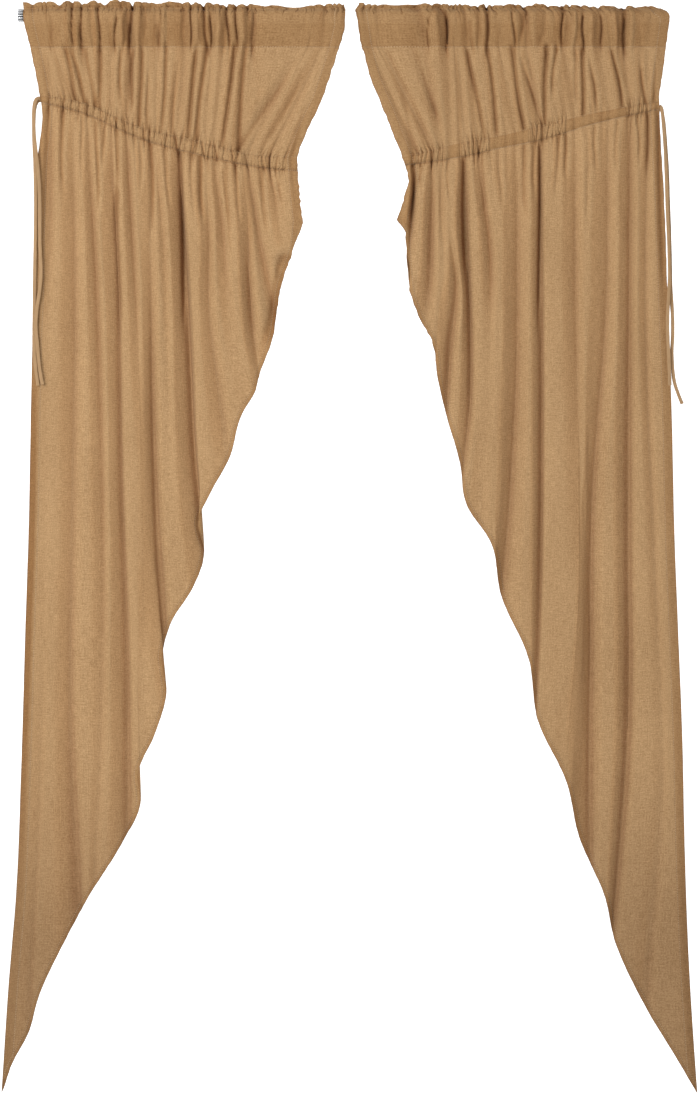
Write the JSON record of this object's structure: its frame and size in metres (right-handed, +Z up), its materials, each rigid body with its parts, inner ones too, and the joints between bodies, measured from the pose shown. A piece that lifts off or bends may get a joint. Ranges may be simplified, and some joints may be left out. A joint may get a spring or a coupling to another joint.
{
  "type": "pair of burlap curtains on rods",
  "caption": "Pair of gathered burlap curtains with slanted hems, casings and free ties, each hanging by its rod pocket from a plain rod.",
  "frame": {"origin": "on the axis of the rods, midway between the two curtains", "axes": "+X to the right as seen from the room, -Y towards the room, +Z up"},
  "size_m": [1.362, 0.0461, 2.138],
  "materials": {
    "burlap": "matt, coarse plain weave with slubs",
    "tie_tape": "matt, narrow folded strip of the same cloth",
    "rod_steel": "satin"
  },
  "bodies": {
    "root": {"left_curtain": "burlap", "left_casing": "burlap", "right_curtain": "burlap", "right_casing": "burlap", "left_tie_front": "tie_tape", "left_tie_back": "tie_tape", "right_tie_front": "tie_tape", "right_tie_back": "tie_tape", "left_rod": "rod_steel", "right_rod": "rod_steel", "left_rod_cap": "rod_steel"}
  },
  "joints": []
}
